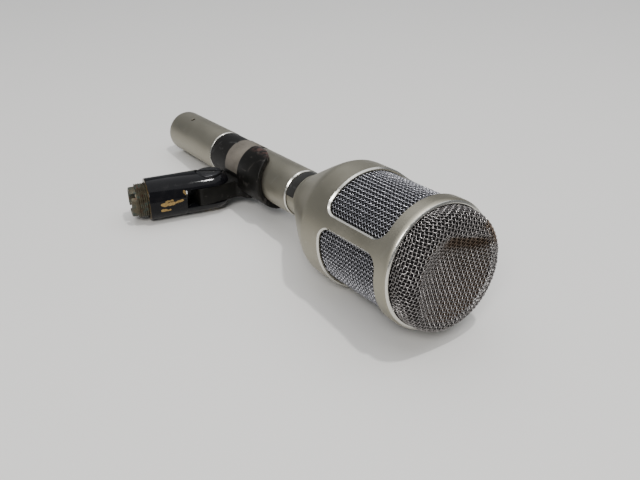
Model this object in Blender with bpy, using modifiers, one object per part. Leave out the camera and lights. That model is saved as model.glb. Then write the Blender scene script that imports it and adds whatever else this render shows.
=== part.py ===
"""Hand-held microphone lying in its swivel stand clip: tube, windowed head with woven mesh, C clamp and base.

Metres, +Z up, the table is Z = 0. The microphone's axis runs along +X and rises a little towards the head,
because the tube's rear rim and the shoulder of the wider head both touch the table.
"""

import math

import bmesh
import bpy
import numpy as np
from mathutils import Matrix, Vector

MM = 0.001

# ---- driving dimensions, millimetres ----------------------------------------------------------------------
TUBE_R = 10.5
TUBE_BORE_R = 9.3
HEAD_R = 24.45
HEAD_BORE_R = 23.25
SHOULDER_AT = 154.6
REAR_TUBE_END = 49.4
BAND_R = 10.3
BAND_FROM, BAND_TO = 49.7, 80.2
TAPE_FROM, TAPE_TO = 65.2, 78.4
TAPE_IN_R, TAPE_OUT_R = 10.35, 10.58
FRONT_TUBE_FROM, FRONT_TUBE_TO = 80.5, 119.5
GROOVE_FROM, GROOVE_TO = 119.8, 125.3
GROOVE_R = 9.7
LABEL_IN_R, LABEL_OUT_R = 9.8, 10.1
LABEL_LOW_DEG, LABEL_HIGH_DEG = -118.0, 75.0
NECK_FROM = 125.6
NECK_BORE_R = 9.4
WINDOW_FROM, WINDOW_TO = 165.0, 197.6
WINDOW_COUNT = 3
RIB_DEG = 13.5
FIRST_RIB_DEG = 63.0
WINDOW_CORNER = 5.0
RING_FRONT = 203.6
MESH_OUT_R, MESH_IN_R = 22.95, 22.45
CAP_R = 22.7
CAP_RISE = 10.682
CAP_WALL = 0.6
CAP_POWER = 4.0
CAP_FROM = 201.3

CLAMP_BORE_R = 10.78
CLAMP_OUT_R = 13.0
CLAMP_FROM, CLAMP_TO = 81.1, 100.6
CLAMP_LOW_DEG, CLAMP_HIGH_DEG = -1.4, 229.0
SADDLE_FROM = 62.0
SADDLE_LOW_DEG, SADDLE_HIGH_DEG = 105.0, 126.0

PIVOT_AT = (70.40, -21.85, 9.80)
BASE_AZIMUTH = math.radians(77.0)
BASE_R = 9.8
BASE_LENGTH_BEHIND_PIVOT = 29.9
SLOT_HALF = 4.3
SLOT_DEPTH = 12.9
TONGUE_HALF = 4.0
TONGUE_HALF_WIDTH = 8.2
TONGUE_END = 8.8
SCREW_R = 2.4
SCREW_HOLE_R = 2.6
SCREW_HEAD_R = 6.2
SCREW_HEAD_TOP = 9.15
SCREW_HEAD_FROM = 6.7
SCREW_SLOT_DEG = 22.0
ADAPTER_R = 7.94
ADAPTER_SOCKET_R = 8.15
ADAPTER_BORE_R = 4.75
ADAPTER_NOSE_R = 6.8
ADAPTER_SHOULDER = -34.5
ADAPTER_TIP = -37.3
ADAPTER_INNER = -16.0
ADAPTER_SLOT_DEG = 47.0
THREAD_PITCH = 0.94

FINE, MEDIUM, COARSE, SMALL = 80, 48, 24, 16

# ---- where things sit -------------------------------------------------------------------------------------
TILT = math.asin((HEAD_R - TUBE_R) / SHOULDER_AT)
AXIS = Vector((math.cos(TILT), 0.0, math.sin(TILT)))
AXIS_UP = Vector((-math.sin(TILT), 0.0, math.cos(TILT)))
CENTRE_SHIFT = Vector((-106.68, 17.591, -0.007))
BASE_DIR = Vector((math.cos(BASE_AZIMUTH), math.sin(BASE_AZIMUTH), 0.0))
PIVOT_DIR = AXIS.cross(BASE_DIR).normalized()


def clear_scene():
    for obj in list(bpy.data.objects):
        bpy.data.objects.remove(obj, do_unlink=True)
    for mat in list(bpy.data.materials):
        bpy.data.materials.remove(mat)


clear_scene()
parts = bpy.data.collections.new("microphone_in_clip")
cutters = bpy.data.collections.new("cutters")
bpy.context.scene.collection.children.link(parts)
bpy.context.scene.collection.children.link(cutters)


def frame(name, origin_mm, x_dir, z_dir):
    """An empty with local X and Z along the given directions, that pieces are parented to."""
    x, z = Vector(x_dir).normalized(), Vector(z_dir).normalized()
    y = z.cross(x)
    turn = Matrix((x, y, z)).transposed().to_4x4()
    empty = bpy.data.objects.new(name, None)
    empty.matrix_world = Matrix.Translation((Vector(origin_mm) + CENTRE_SHIFT) * MM) @ turn
    empty.empty_display_size = 0.02
    parts.objects.link(empty)
    return empty


rear_height = TUBE_R * math.cos(TILT)
mic_frame = frame("mic_frame", (0.0, 0.0, rear_height), AXIS_UP, AXIS)
arm_frame = frame("arm_frame", PIVOT_AT, PIVOT_DIR, AXIS)
base_frame = frame("base_frame", PIVOT_AT, PIVOT_DIR, BASE_DIR)
bpy.context.view_layer.update()


def material(name, rgb, metallic, roughness):
    mat = bpy.data.materials.new(name)
    mat.use_nodes = True
    node = mat.node_tree.nodes["Principled BSDF"]
    node.inputs["Base Color"].default_value = (*rgb, 1.0)
    node.inputs["Metallic"].default_value = metallic
    node.inputs["Roughness"].default_value = roughness
    mat.diffuse_color = (*rgb, 1.0)
    return mat


NICKEL = ((0.42, 0.40, 0.34), 0.9, 0.42)
STEEL = ((0.60, 0.60, 0.60), 1.0, 0.30)
BRASS = ((0.62, 0.46, 0.20), 1.0, 0.35)
BLACK_MATT = ((0.022, 0.022, 0.022), 0.0, 0.55)
BLACK_GLOSS = ((0.010, 0.010, 0.012), 0.0, 0.15)
RUBBER = ((0.030, 0.030, 0.030), 0.0, 0.80)
FOAM = ((0.018, 0.017, 0.016), 0.0, 0.95)
TAPE = ((0.30, 0.26, 0.23), 0.0, 0.65)
BOARD = ((0.10, 0.22, 0.09), 0.0, 0.50)
WORN = ((0.20, 0.22, 0.17), 0.7, 0.60)
GOLD = ((0.80, 0.58, 0.22), 1.0, 0.25)


def place(obj, parent, helper=False):
    (cutters if helper else parts).objects.link(obj)
    obj.parent = parent
    if helper:
        obj.hide_render = True
        obj.display_type = "WIRE"
    return obj


def finish(obj, look):
    obj.data.materials.append(material(obj.name, *look))
    return obj


def mesh_object(name, verts, faces, parent, helper=False, edges=()):
    mesh = bpy.data.meshes.new(name)
    mesh.from_pydata([tuple(c * MM for c in v) for v in verts], list(edges), faces)
    mesh.update()
    return place(bpy.data.objects.new(name, mesh), parent, helper)


def turned(name, profile, parent, steps=MEDIUM, helper=False, closed=True, offset=(0.0, 0.0)):
    """A solid of revolution about local Z from (radius, height) points that run down its outer side."""
    verts = [(r, 0.0, z) for r, z in profile]
    edges = [(i, i + 1) for i in range(len(verts) - 1)]
    if closed:
        edges.append((len(verts) - 1, 0))
    obj = mesh_object(name, verts, [], parent, helper, edges)
    obj.location = (offset[0] * MM, offset[1] * MM, 0.0)
    screw = obj.modifiers.new("turn", "SCREW")
    screw.axis = "Z"
    screw.angle = math.tau
    screw.steps = screw.render_steps = steps
    screw.use_merge_vertices = True
    screw.merge_threshold = 0.00001
    screw.use_normal_calculate = False
    return obj


def rod(name, radius, low, high, parent, steps=COARSE, helper=False, edge=0.0, offset=(0.0, 0.0)):
    """A solid cylinder along local Z, with an optional small chamfer on both rims."""
    profile = [(0.0, high), (radius - edge, high)]
    if edge:
        profile.append((radius, high - edge))
        profile.append((radius, low + edge))
    profile += [(radius - edge if edge else radius, low), (0.0, low)]
    return turned(name, profile, parent, steps, helper, closed=False, offset=offset)


def ring(name, inner, outer, low, high, parent, steps=MEDIUM, helper=False, edge=0.0):
    """A tube along local Z, with an optional chamfer on its outer rims."""
    profile = [(outer - edge, high)]
    if edge:
        profile += [(outer, high - edge), (outer, low + edge)]
    profile += [(outer - edge, low), (inner, low), (inner, high)]
    return turned(name, profile, parent, steps, helper)


def strip(name, columns, inner, outer, parent, helper=False):
    """A curved plate about local Z: columns hold (degrees, low z, high z[, own outer radius])."""
    verts, faces = [], []
    for column in columns:
        angle = math.radians(column[0])
        top_r = column[3] if len(column) > 3 else outer
        for radius in (inner, top_r):
            for z in column[1:3]:
                verts.append((radius * math.cos(angle), radius * math.sin(angle), z))
    for i in range(len(columns) - 1):
        a, b = 4 * i, 4 * (i + 1)
        faces += [(a, b, b + 1, a + 1), (a + 3, b + 3, b + 2, a + 2)]
        faces += [(a + 2, b + 2, b, a), (a + 1, b + 1, b + 3, a + 3)]
    last = 4 * (len(columns) - 1)
    faces += [(0, 1, 3, 2), (last + 2, last + 3, last + 1, last)]
    obj = mesh_object(name, verts, faces, parent, helper)
    face_outward(obj)
    return obj


def prism(name, outline, low, high, parent, helper=False):
    """A flat outline of (Y, Z) points, extruded along local X from low to high."""
    count = len(outline)
    verts = [(low, y, z) for y, z in outline] + [(high, y, z) for y, z in outline]
    faces = [tuple(range(count)), tuple(range(2 * count - 1, count - 1, -1))]
    faces += [(i, i + count, (i + 1) % count + count, (i + 1) % count) for i in range(count)]
    obj = mesh_object(name, verts, faces, parent, helper)
    face_outward(obj)
    return obj


def face_outward(obj):
    work = bmesh.new()
    work.from_mesh(obj.data)
    bmesh.ops.recalc_face_normals(work, faces=work.faces)
    if work.calc_volume(signed=True) < 0:
        bmesh.ops.reverse_faces(work, faces=work.faces)
    work.to_mesh(obj.data)
    work.free()


def box(name, low, high, parent, helper=False):
    (x0, y0, z0), (x1, y1, z1) = low, high
    outline = [(y0, z0), (y1, z0), (y1, z1), (y0, z1)]
    return prism(name, outline, x0, x1, parent, helper)


def boolean(obj, other, operation="DIFFERENCE"):
    mod = obj.modifiers.new(operation.lower(), "BOOLEAN")
    mod.operation = operation
    mod.solver = "EXACT"
    mod.object = other
    return obj


def arc(centre, radius, start_deg, end_deg, count):
    """Points (a, b) on an arc about centre."""
    turns = np.radians(np.linspace(start_deg, end_deg, count))
    return [(centre[0] + radius * math.cos(t), centre[1] + radius * math.sin(t)) for t in turns]


# ---- microphone: tube and connector -----------------------------------------------------------------------
EDGE = 0.5
LIP = 0.35
rear_profile = [(TUBE_BORE_R, REAR_TUBE_END), (TUBE_R - LIP, REAR_TUBE_END), (TUBE_R, REAR_TUBE_END - LIP)]
rear_profile += arc((TUBE_R - EDGE, EDGE), EDGE, 0, -90, 5) + [(TUBE_BORE_R, 0.0)]
rear_tube = turned("rear_tube", rear_profile, mic_frame)

SET_SCREW_AT, SET_SCREW_DEG = 15.6, 13.4
set_frame_dir = Vector((math.cos(math.radians(SET_SCREW_DEG)), math.sin(math.radians(SET_SCREW_DEG)), 0.0))


def radial_rod(name, radius, inner, outer, helper=False, edge=0.0):
    """A rod that points out of the tube at the set screw's place."""
    obj = rod(name, radius, inner, outer, mic_frame, SMALL, helper, edge)
    turn = Vector((0.0, 0.0, 1.0)).rotation_difference(set_frame_dir)
    obj.rotation_mode = "QUATERNION"
    obj.rotation_quaternion = turn
    obj.location = (0.0, 0.0, SET_SCREW_AT * MM)
    return obj


set_screw_hole = radial_rod("cut_set_screw_hole", 1.15, 6.6, 12.0, helper=True)
boolean(rear_tube, set_screw_hole)
finish(rear_tube, NICKEL)

INSERT_R, INSERT_FROM, INSERT_TO = 9.0, 13.8, 21.5
xlr_insert = rod("xlr_insert", INSERT_R, INSERT_FROM, INSERT_TO, mic_frame, MEDIUM, edge=0.3)
boolean(xlr_insert, set_screw_hole)
PIN_CIRCLE, PIN_R, PIN_TIP, PIN_TAIL = 3.5, 1.15, 4.0, 24.0
for number, degrees in enumerate((60.0, 180.0, 300.0), start=1):
    at = (PIN_CIRCLE * math.cos(math.radians(degrees)), PIN_CIRCLE * math.sin(math.radians(degrees)))
    hole = rod(f"cut_pin_hole_{number}", PIN_R + 0.2, 10.0, 26.0, mic_frame, SMALL, True, offset=at)
    boolean(xlr_insert, hole)
    pin = rod(f"contact_pin_{number}", PIN_R, PIN_TIP, PIN_TAIL, mic_frame, SMALL, edge=0.35, offset=at)
    finish(pin, GOLD)
finish(xlr_insert, BLACK_MATT)

set_screw = radial_rod("set_screw", 0.85, 7.0, 10.0, edge=0.1)
finish(set_screw, STEEL)

finish(rod("output_transformer", 8.0, 26.5, 43.0, mic_frame, MEDIUM, edge=0.6), STEEL)
finish(ring("band_sleeve", TUBE_BORE_R, BAND_R, BAND_FROM, BAND_TO, mic_frame, edge=0.1), BLACK_MATT)

tape_columns = [(a, TAPE_FROM, TAPE_TO) for a in np.linspace(-62.0, 94.0, 32)]
finish(strip("grip_tape", tape_columns, TAPE_IN_R, TAPE_OUT_R, mic_frame), TAPE)

front_profile = [(TUBE_BORE_R, FRONT_TUBE_TO), (TUBE_R - 0.45, FRONT_TUBE_TO), (TUBE_R, FRONT_TUBE_TO - 0.45)]
front_profile += [(TUBE_R, FRONT_TUBE_FROM + LIP), (TUBE_R - LIP, FRONT_TUBE_FROM), (TUBE_BORE_R, FRONT_TUBE_FROM)]
finish(turned("front_tube", front_profile, mic_frame), NICKEL)

BOARD_HALF_WIDTH, BOARD_HALF_THICK = 7.4, 0.8
finish(
    box(
        "circuit_board",
        (-BOARD_HALF_THICK, -BOARD_HALF_WIDTH, 46.0),
        (BOARD_HALF_THICK, BOARD_HALF_WIDTH, 106.0),
        mic_frame,
    ),
    BOARD,
)
finish(rod("coupling_capacitor", 2.9, 58.0, 76.0, mic_frame, COARSE, edge=0.3, offset=(4.1, 0.0)), WORN)

INNER_SLEEVE_R = 9.0
collar = [(INNER_SLEEVE_R, 130.0), (INNER_SLEEVE_R, GROOVE_TO), (GROOVE_R, GROOVE_TO), (GROOVE_R, GROOVE_FROM)]
collar += [(INNER_SLEEVE_R, GROOVE_FROM), (INNER_SLEEVE_R, 109.0), (6.5, 109.0), (6.5, 130.0)]
finish(turned("neck_collar", collar, mic_frame), NICKEL)
label_columns = [(a, GROOVE_FROM + 0.3, GROOVE_TO - 0.3) for a in np.linspace(LABEL_LOW_DEG, LABEL_HIGH_DEG, 33)]
finish(strip("label_band", label_columns, LABEL_IN_R, LABEL_OUT_R, mic_frame), BLACK_MATT)

# ---- microphone: head -------------------------------------------------------------------------------------
cage_outside = [(10.15, NECK_FROM), (10.5, NECK_FROM + 0.4), (10.75, 128.2), (11.25, 128.9), (12.1, 129.8)]
cage_outside += [(13.35, 131.9), (15.95, 136.5), (20.0, 144.0), (22.6, 149.1), (23.45, 150.9), (24.0, 152.4)]
cage_outside += [(24.32, 153.6), (HEAD_R, 155.4), (HEAD_R, RING_FRONT - 1.1), (HEAD_R - 0.9, RING_FRONT)]
cage_inside = [(HEAD_BORE_R, RING_FRONT - 0.15), (HEAD_BORE_R, 155.8), (22.7, 153.2), (21.6, 150.3)]
cage_inside += [(18.8, 144.6), (14.8, 137.1), (11.6, 131.4), (NECK_BORE_R, 129.0), (NECK_BORE_R, NECK_FROM)]
head_cage = turned("head_cage", list(reversed(cage_outside)) + list(reversed(cage_inside)), mic_frame, FINE)


def window(name, middle_deg):
    half = (360.0 / WINDOW_COUNT - RIB_DEG) / 2
    corner_deg = math.degrees(WINDOW_CORNER / HEAD_R)
    columns = []
    for t in np.radians(np.linspace(0.0, 90.0, 7)):
        offset = corner_deg * (1 - math.cos(t))
        shrink = WINDOW_CORNER * (1 - math.sin(t))
        columns.append((middle_deg - half + offset, WINDOW_FROM + shrink, WINDOW_TO - shrink))
    inner_edge = half - corner_deg
    for a in np.linspace(-inner_edge, inner_edge, 22)[1:-1]:
        columns.append((middle_deg + a, WINDOW_FROM, WINDOW_TO))
    for low in reversed(columns[:7]):
        columns.append((2 * middle_deg - low[0], low[1], low[2]))
    return strip(name, columns, 20.0, 27.0, mic_frame, helper=True)


for index in range(WINDOW_COUNT):
    middle = FIRST_RIB_DEG + (index + 0.5) * 360.0 / WINDOW_COUNT
    boolean(head_cage, window(f"cut_window_{index + 1}", middle))
finish(head_cage, NICKEL)

finish(ring("mesh_sleeve", MESH_IN_R, MESH_OUT_R, 157.0, 198.6, mic_frame, FINE), STEEL)
finish(ring("foam_sleeve", 20.4, MESH_IN_R - 0.3, 157.3, 198.3, mic_frame), FOAM)
finish(ring("retaining_ring", 20.3, MESH_OUT_R, 199.0, 201.0, mic_frame, edge=0.2), BLACK_MATT)


def dome(radius, rise, start, count=9):
    """Points from the crown down to the rim of a flattened dome."""
    points = []
    for t in np.linspace(0.0, math.pi / 2, count):
        r = radius * math.sin(t) ** (2 / CAP_POWER)
        z = start + rise * math.cos(t) ** (2 / CAP_POWER)
        points.append((r, z))
    points[0] = (0.0, points[0][1])
    return points


def cap_shell(name, radius, rise, wall, foot, look):
    outside = dome(radius, rise, RING_FRONT) + [(radius, foot)]
    inside = [(radius - wall, foot)] + list(reversed(dome(radius - wall, rise - wall, RING_FRONT)))
    return finish(turned(name, outside + inside, mic_frame, MEDIUM, closed=False), look)


cap_shell("front_mesh", CAP_R, CAP_RISE, CAP_WALL, CAP_FROM, STEEL)
cap_shell("foam_front", CAP_R - CAP_WALL - 0.5, CAP_RISE - CAP_WALL - 0.5, 2.6, CAP_FROM + 0.2, FOAM)

CAPSULE_R = 11.0
finish(ring("capsule_carrier", 6.0, 20.0, 157.6, 160.0, mic_frame), STEEL)
finish(ring("capsule_post", 4.0, 5.6, 131.0, 168.0, mic_frame), STEEL)
finish(ring("capsule_mount", 6.0, 9.0, 160.4, 167.5, mic_frame, edge=0.8), RUBBER)
finish(rod("capsule_body", CAPSULE_R, 168.4, 186.0, mic_frame, MEDIUM, edge=0.5), NICKEL)
finish(ring("capsule_ring", 9.2, CAPSULE_R, 186.4, 188.6, mic_frame, edge=0.3), BRASS)
finish(rod("diaphragm", 8.9, 186.5, 186.9, mic_frame, MEDIUM), GOLD)

# ---- clip: clamp, saddle and tongue -----------------------------------------------------------------------
pivot_along = (Vector(PIVOT_AT) - Vector((0.0, 0.0, rear_height))).dot(AXIS)
to_axis = Vector((0.0, 0.0, rear_height)) + AXIS * pivot_along - Vector(PIVOT_AT)
axis_side = to_axis.dot(AXIS.cross(PIVOT_DIR))
axis_height = to_axis.dot(PIVOT_DIR)

front_edge = ((-1.4, 84.0), (2.0, 88.2), (6.0, 91.4), (11.0, 94.3), (17.0, 96.4), (25.0, 97.8), (45.0, 99.2))
front_edge += ((70.0, 100.3), (100.0, CLAMP_TO), (190.0, CLAMP_TO), (214.0, 98.8), (224.0, 95.0), (229.0, 90.0))
tip_thickness = ((-1.4, 11.9), (8.0, 12.6), (16.0, CLAMP_OUT_R), (214.0, CLAMP_OUT_R), (229.0, 12.2))
rear_edge = ((-1.4, CLAMP_FROM), (SADDLE_LOW_DEG - 1, CLAMP_FROM), (SADDLE_LOW_DEG, SADDLE_FROM))
rear_edge += ((SADDLE_HIGH_DEG, SADDLE_FROM), (SADDLE_HIGH_DEG + 1, CLAMP_FROM), (229.0, CLAMP_FROM))


def along(table, a):
    return float(np.interp(a, [row[0] for row in table], [row[1] for row in table]))


clamp_turns = set(np.linspace(CLAMP_LOW_DEG, CLAMP_HIGH_DEG, 48)) | {row[0] for row in front_edge + rear_edge}
clamp_turns = sorted(clamp_turns)
clamp_turns = [a for i, a in enumerate(clamp_turns) if i == 0 or a - clamp_turns[i - 1] > 0.5]
clamp_columns = [(a, along(rear_edge, a), along(front_edge, a), along(tip_thickness, a)) for a in clamp_turns]
clip_clamp = strip("clip_clamp", clamp_columns, CLAMP_BORE_R - 0.5, CLAMP_OUT_R, mic_frame)

TONGUE_REACH = axis_side + 7.0
ROUND = 1.6
tongue_outline = arc((TONGUE_END - ROUND, TONGUE_HALF_WIDTH - ROUND), ROUND, 0, 90, 5)
tongue_outline += [(-9.5, TONGUE_HALF_WIDTH), (-11.5, 9.4), (-12.6, 13.5), (TONGUE_REACH, 14.0)]
tongue_outline += [(TONGUE_REACH, -TONGUE_HALF_WIDTH)]
tongue_outline += arc((TONGUE_END - ROUND, -TONGUE_HALF_WIDTH + ROUND), ROUND, -90, 0, 5)
tongue = prism("add_tongue", tongue_outline, -TONGUE_HALF, TONGUE_HALF, arm_frame, helper=True)
boolean(clip_clamp, tongue, "UNION")
boolean(clip_clamp, ring("cut_tube_bore", 0.5, CLAMP_BORE_R, 40.0, 118.0, mic_frame, FINE, helper=True))


def pivot_rod(name, radius, low, high, steps=COARSE, helper=False, edge=0.0, parent=base_frame, sides=None):
    """A rod along the pivot axis, which is local X of the base and of the arm."""
    obj = rod(name, radius, low, high, parent, sides or steps, helper, edge)
    obj.rotation_euler = (0.0, math.pi / 2, 0.0)
    return obj


BUSH_R = 3.9
boolean(clip_clamp, pivot_rod("cut_bush_hole", BUSH_R + 0.15, -12.0, 12.0, helper=True, parent=arm_frame))
finish(clip_clamp, BLACK_MATT)

bush = ring("pivot_bush", SCREW_R + 0.15, BUSH_R, -TONGUE_HALF, TONGUE_HALF, arm_frame, COARSE)
bush.rotation_euler = (0.0, math.pi / 2, 0.0)
finish(bush, BRASS)

# ---- clip: base, screw, nut and thread adapter ------------------------------------------------------------
TAIL = -BASE_LENGTH_BEHIND_PIVOT
END_REACH, END_POWER = 9.3, 2.6


def base_section(k, scale=1.0):
    """The outline of the base across its length, k of the way along its rounded end, which starts at the pivot."""
    made = []
    for turn in np.linspace(0.0, math.tau, MEDIUM, endpoint=False):
        y = math.sqrt(1.0 - k * k) * math.sin(turn)
        x = max((1.0 - y * y) ** (END_POWER / 2) - k**END_POWER, 0.0) ** (1 / END_POWER)
        made.append((scale * BASE_R * math.copysign(x, math.cos(turn)), scale * BASE_R * y))
    return made


levels = [(TAIL, 0.0, (BASE_R - 0.4) / BASE_R), (TAIL + 0.4, 0.0, 1.0)]
for lift in np.linspace(0.0, 86.0, 17):
    k = math.sin(math.radians(lift)) ** (2 / END_POWER)
    levels.append((END_REACH * k, k, 1.0))
verts = [(x, y, z) for z, k, scale in levels for x, y in base_section(k, scale)]
faces = [tuple(reversed(range(MEDIUM))), tuple(range(len(verts) - MEDIUM, len(verts)))]
for level in range(len(levels) - 1):
    a, b = level * MEDIUM, (level + 1) * MEDIUM
    faces += [(a + i, a + (i + 1) % MEDIUM, b + (i + 1) % MEDIUM, b + i) for i in range(MEDIUM)]
swivel_base = mesh_object("swivel_base", verts, faces, base_frame)
boolean(swivel_base, rod("cut_socket", ADAPTER_SOCKET_R, TAIL - 2.0, ADAPTER_INNER + 0.4, base_frame, MEDIUM, True))
slot = box("cut_fork_slot", (-SLOT_HALF, -13.0, -SLOT_DEPTH), (SLOT_HALF, 13.0, 14.0), base_frame, helper=True)
boolean(swivel_base, slot)
boolean(swivel_base, pivot_rod("cut_screw_hole", SCREW_HOLE_R, -14.0, 14.0, helper=True))
boolean(swivel_base, pivot_rod("cut_head_recess", SCREW_HEAD_R + 0.3, 5.9, 14.0, MEDIUM, helper=True))
NUT_R = 4.6
boolean(swivel_base, pivot_rod("cut_nut_pocket", NUT_R + 0.35, -14.0, -6.1, helper=True, sides=6))
finish(swivel_base, BLACK_GLOSS)

NUT_HOLE_CORNER_R = SCREW_R / math.cos(math.radians(30.0)) + 0.2
nut = ring("swivel_nut", NUT_HOLE_CORNER_R, NUT_R, -8.5, -6.3, base_frame, 6)
nut.rotation_euler = (0.0, math.pi / 2, 0.0)
finish(nut, BRASS)
washer = ring("spring_washer", SCREW_R + 0.3, 5.4, 6.0, 6.5, base_frame, COARSE)
washer.rotation_euler = (0.0, math.pi / 2, 0.0)
finish(washer, STEEL)

screw_profile = [(0.0, SCREW_HEAD_TOP), (SCREW_HEAD_R - 0.9, SCREW_HEAD_TOP - 0.15)]
screw_profile += [(SCREW_HEAD_R - 0.25, SCREW_HEAD_TOP - 0.5), (SCREW_HEAD_R, SCREW_HEAD_TOP - 0.95)]
screw_profile += [(SCREW_HEAD_R, SCREW_HEAD_FROM), (SCREW_R, SCREW_HEAD_FROM), (SCREW_R, -8.1), (SCREW_R - 0.3, -8.4)]
screw_profile += [(0.0, -8.4)]
swivel_screw = turned("swivel_screw", screw_profile, base_frame, MEDIUM, closed=False)
swivel_screw.rotation_euler = (0.0, math.pi / 2, 0.0)
driver_slot = box("cut_driver_slot", (SCREW_HEAD_TOP - 1.3, -0.65, -9.0), (12.0, 0.65, 9.0), base_frame, helper=True)
driver_slot.rotation_euler = (math.radians(-SCREW_SLOT_DEG), 0.0, 0.0)
boolean(swivel_screw, driver_slot)
finish(swivel_screw, BLACK_GLOSS)

thread = []
at = ADAPTER_SHOULDER + 0.25
while at < TAIL - 0.2:
    thread += [(ADAPTER_R, at), (ADAPTER_R - 0.45, at + THREAD_PITCH / 2)]
    at += THREAD_PITCH
adapter_profile = [(ADAPTER_R - 0.3, ADAPTER_INNER), (ADAPTER_R, ADAPTER_INNER - 0.3), (ADAPTER_R, at)]
adapter_profile += list(reversed(thread)) + [(ADAPTER_R - 0.3, ADAPTER_SHOULDER)]
adapter_profile += [(ADAPTER_NOSE_R, ADAPTER_SHOULDER), (ADAPTER_NOSE_R, ADAPTER_TIP + 0.4)]
adapter_profile += [(ADAPTER_NOSE_R - 0.4, ADAPTER_TIP), (ADAPTER_BORE_R + 0.3, ADAPTER_TIP)]
adapter_profile += [(ADAPTER_BORE_R, ADAPTER_TIP + 0.3), (ADAPTER_BORE_R, ADAPTER_INNER)]
thread_adapter = turned("thread_adapter", adapter_profile, base_frame, MEDIUM)
coin_slot = box("cut_coin_slot", (-1.1, -9.0, -40.0), (1.1, 9.0, ADAPTER_TIP + 2.2), base_frame, helper=True)
coin_slot.rotation_euler = (0.0, 0.0, math.radians(ADAPTER_SLOT_DEG - 90.0))
boolean(thread_adapter, coin_slot)
finish(thread_adapter, WORN)

bpy.context.view_layer.update()
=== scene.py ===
"""Looks of the hand-held microphone lying in its swivel stand clip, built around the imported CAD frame.

Lengths are millimetres in one of two local frames. In the microphone's, z runs from the connector end to
the head, x away from the table and y towards the camera. In the clip base's, x runs along the pivot screw
and z away from the stand thread.
"""

import math

import bmesh
import bpy
import numpy as np
from mathutils import Matrix, Vector


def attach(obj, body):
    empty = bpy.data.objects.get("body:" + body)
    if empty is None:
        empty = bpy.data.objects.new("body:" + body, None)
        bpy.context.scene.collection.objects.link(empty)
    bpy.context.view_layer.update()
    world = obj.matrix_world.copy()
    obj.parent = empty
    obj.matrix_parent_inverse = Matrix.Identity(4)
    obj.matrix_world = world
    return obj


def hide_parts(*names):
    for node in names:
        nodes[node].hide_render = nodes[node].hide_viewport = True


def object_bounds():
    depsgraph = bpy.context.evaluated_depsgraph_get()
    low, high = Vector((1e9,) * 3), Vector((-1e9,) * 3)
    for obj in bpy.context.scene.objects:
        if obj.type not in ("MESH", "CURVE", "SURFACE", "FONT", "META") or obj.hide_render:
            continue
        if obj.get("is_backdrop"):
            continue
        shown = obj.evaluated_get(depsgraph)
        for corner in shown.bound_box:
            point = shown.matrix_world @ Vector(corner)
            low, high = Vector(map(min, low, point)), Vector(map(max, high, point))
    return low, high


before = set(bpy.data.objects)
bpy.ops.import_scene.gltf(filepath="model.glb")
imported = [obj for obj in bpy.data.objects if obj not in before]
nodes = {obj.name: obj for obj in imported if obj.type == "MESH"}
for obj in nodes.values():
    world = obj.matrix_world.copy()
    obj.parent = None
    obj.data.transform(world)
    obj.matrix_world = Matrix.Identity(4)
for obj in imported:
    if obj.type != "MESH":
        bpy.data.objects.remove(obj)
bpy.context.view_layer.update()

MM = 0.001

# ---- dimensions that the CAD part has too ----
TUBE_R, TUBE_BORE_R = 10.5, 9.3
HEAD_R, HEAD_BORE_R = 24.45, 23.25
SHOULDER_AT = 154.6
RING_FRONT = 203.6
NECK_FROM, NECK_BORE_R = 125.6, 9.4
WINDOW_FROM, WINDOW_TO, WINDOW_CORNER = 165.0, 197.6, 5.0
WINDOW_COUNT, RIB_DEG, FIRST_RIB_DEG = 3, 13.5, 63.0
CLAMP_BORE_R, CLAMP_OUT_R, CLAMP_FROM, CLAMP_TO = 10.78, 13.0, 81.1, 100.6
BASE_R, TAIL = 9.8, -29.9
TONGUE_HALF, TONGUE_HALF_WIDTH, TONGUE_END = 4.0, 8.2, 8.8
SCREW_HEAD_R, SCREW_HEAD_TOP = 6.2, 9.15
ADAPTER_R, ADAPTER_NOSE_R, ADAPTER_BORE_R = 7.94, 6.8, 4.75
ADAPTER_SHOULDER, ADAPTER_TIP, ADAPTER_INNER = -34.5, -37.3, -16.0
THREAD_PITCH = 0.94
REAR_END, BAND_FROM, BAND_TO, FRONT_FROM, FRONT_END = 49.4, 49.7, 80.2, 80.5, 119.5
BAND_R, TUBE_EDGE = 10.3, 0.45
SET_HOLE_R, PIN_R, PIN_CIRCLE_R = 1.15, 1.15, 3.5
SOCKET_R, SOCKET_TOP, SLOT_HALF, SLOT_FLOOR = 8.15, -15.6, 4.3, -12.9
STRIP_FROM, STRIP_TO, STRIP_LOW_DEG, STRIP_HIGH_DEG = 65.2, 78.4, -62.0, 94.0
LABEL_FROM, LABEL_TO, LABEL_LOW_DEG, LABEL_HIGH_DEG = 120.1, 125.0, -118.0, 75.0
SET_SCREW_AT, SET_SCREW_DEG = 15.6, 13.4
CLAMP_LOW_DEG, CLAMP_HIGH_DEG = -1.4, 229.0
SADDLE_FROM, SADDLE_LOW_DEG, SADDLE_HIGH_DEG = 62.0, 105.0, 126.0
SCREW_SLOT_DEG, ADAPTER_SLOT_DEG = 22.0, 47.0
END_REACH, END_POWER = 9.3, 2.6


def direction(degrees):
    """The unit vector at that angle from X towards Y."""
    return Vector((math.cos(math.radians(degrees)), math.sin(math.radians(degrees)), 0.0))


TILT = math.asin((HEAD_R - TUBE_R) / SHOULDER_AT)
AXIS = Vector((math.cos(TILT), 0.0, math.sin(TILT)))
AXIS_UP = Vector((-math.sin(TILT), 0.0, math.cos(TILT)))
CENTRE_SHIFT = Vector((-106.68, 17.591, -0.007))
BASE_DIR = direction(77.0)
PIVOT_DIR = AXIS.cross(BASE_DIR).normalized()
PIVOT_AT = Vector((70.40, -21.85, 9.80))
REAR_HEIGHT = TUBE_R * math.cos(TILT)


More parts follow.
